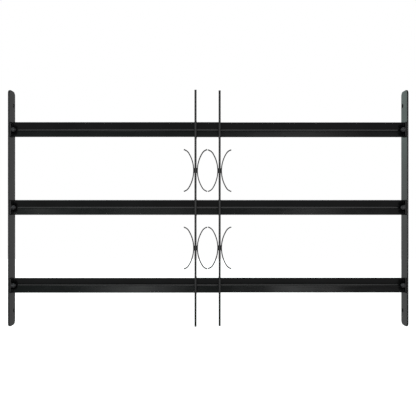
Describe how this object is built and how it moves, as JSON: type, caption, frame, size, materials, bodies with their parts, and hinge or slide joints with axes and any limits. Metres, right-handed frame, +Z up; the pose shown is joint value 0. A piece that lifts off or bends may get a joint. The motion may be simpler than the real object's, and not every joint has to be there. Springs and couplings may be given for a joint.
{
  "type": "window security grille",
  "caption": "Telescopic window grille with level V-section crossbars between slim end plates and a pair of upright rods carrying curved strips, in black powder-coated steel.",
  "frame": {"origin": "centre of the bounding box, on the middle of the grille's height, width as drawn and depth", "axes": "+X to the right along the crossbars as seen from the room, +Y away from the room towards the glass, +Z up"},
  "size_m": [0.766, 0.034, 0.455],
  "materials": {
    "end_plates": "satin black powder coat",
    "crossbars": "satin black powder coat",
    "ornament": "satin black powder coat",
    "fasteners": "black zinc plated"
  },
  "bodies": {
    "left_half": {"left_end_plate": "end_plates", "front_bar_top": "crossbars", "front_bar_middle": "crossbars", "front_bar_bottom": "crossbars", "left_tab_top": "crossbars", "left_tab_middle": "crossbars", "left_tab_bottom": "crossbars", "left_tab_screws": "fasteners", "left_tab_washers": "fasteners", "left_tab_nuts": "fasteners", "right_loop_top": "ornament", "right_loop_middle": "ornament", "right_loop_bottom": "ornament", "right_rod": "ornament", "right_scroll_upper_outer": "ornament", "right_scroll_upper_inner": "ornament", "right_scroll_lower_outer": "ornament", "right_scroll_lower_inner": "ornament", "right_scroll_welds": "ornament"},
    "right_half": {"right_end_plate": "end_plates", "rear_bar_top": "crossbars", "rear_bar_middle": "crossbars", "rear_bar_bottom": "crossbars", "right_tab_top": "crossbars", "right_tab_middle": "crossbars", "right_tab_bottom": "crossbars", "right_tab_screws": "fasteners", "right_tab_washers": "fasteners", "right_tab_nuts": "fasteners", "left_loop_top": "ornament", "left_loop_middle": "ornament", "left_loop_bottom": "ornament", "left_rod": "ornament", "left_rod_spacers": "ornament", "left_scroll_upper_outer": "ornament", "left_scroll_upper_inner": "ornament", "left_scroll_lower_outer": "ornament", "left_scroll_lower_inner": "ornament", "left_scroll_welds": "ornament"}
  },
  "joints": [
    {"name": "width_slide", "type": "slide", "parent": "left_half", "child": "right_half", "axis": [1, 0, 0], "range_m": [-0.24, 0.02]}
  ]
}
